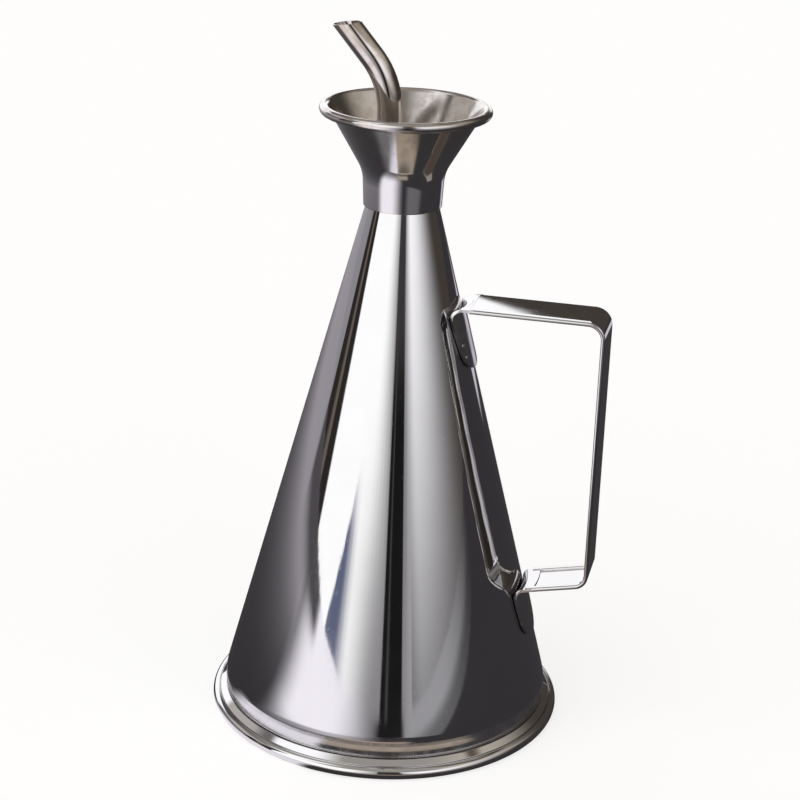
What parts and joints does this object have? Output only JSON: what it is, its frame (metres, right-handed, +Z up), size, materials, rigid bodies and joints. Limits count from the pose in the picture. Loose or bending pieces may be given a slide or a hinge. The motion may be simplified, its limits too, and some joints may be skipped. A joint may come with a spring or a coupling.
{
  "type": "olive oil cruet",
  "caption": "Conical stainless steel oil cruet with a bent strap handle, a rolled foot ring and a lift-off drip funnel that carries a bent pouring spout.",
  "frame": {"origin": "centre of the base pan's flat underside, on the cruet's axis", "axes": "+Z up along the axis of the cone, +X towards the handle, so the spout pours towards -X"},
  "size_m": [0.1448, 0.134, 0.2634],
  "materials": {
    "polished_steel": "mirror polished",
    "strap_steel": "polished",
    "satin_steel": "satin",
    "seal_silicone": "matt"
  },
  "bodies": {
    "vessel": {"cone_shell": "polished_steel", "base_pan": "satin_steel", "foot_ring": "polished_steel", "neck_sleeve": "satin_steel", "handle_strap": "strap_steel"},
    "seal": {"seal_ring": "seal_silicone"},
    "pourer": {"drip_cup": "satin_steel", "drip_funnel": "polished_steel", "spout_tube": "polished_steel"}
  },
  "joints": [
    {"name": "pourer_lift", "type": "slide", "parent": "vessel", "child": "seal", "axis": [0, 0, 1], "range_m": [0, 0.04]},
    {"name": "pourer_turn", "type": "hinge", "parent": "seal", "child": "pourer", "pos_m": [0, 0, 0.21], "axis": [0, 0, 1], "continuous": true}
  ]
}
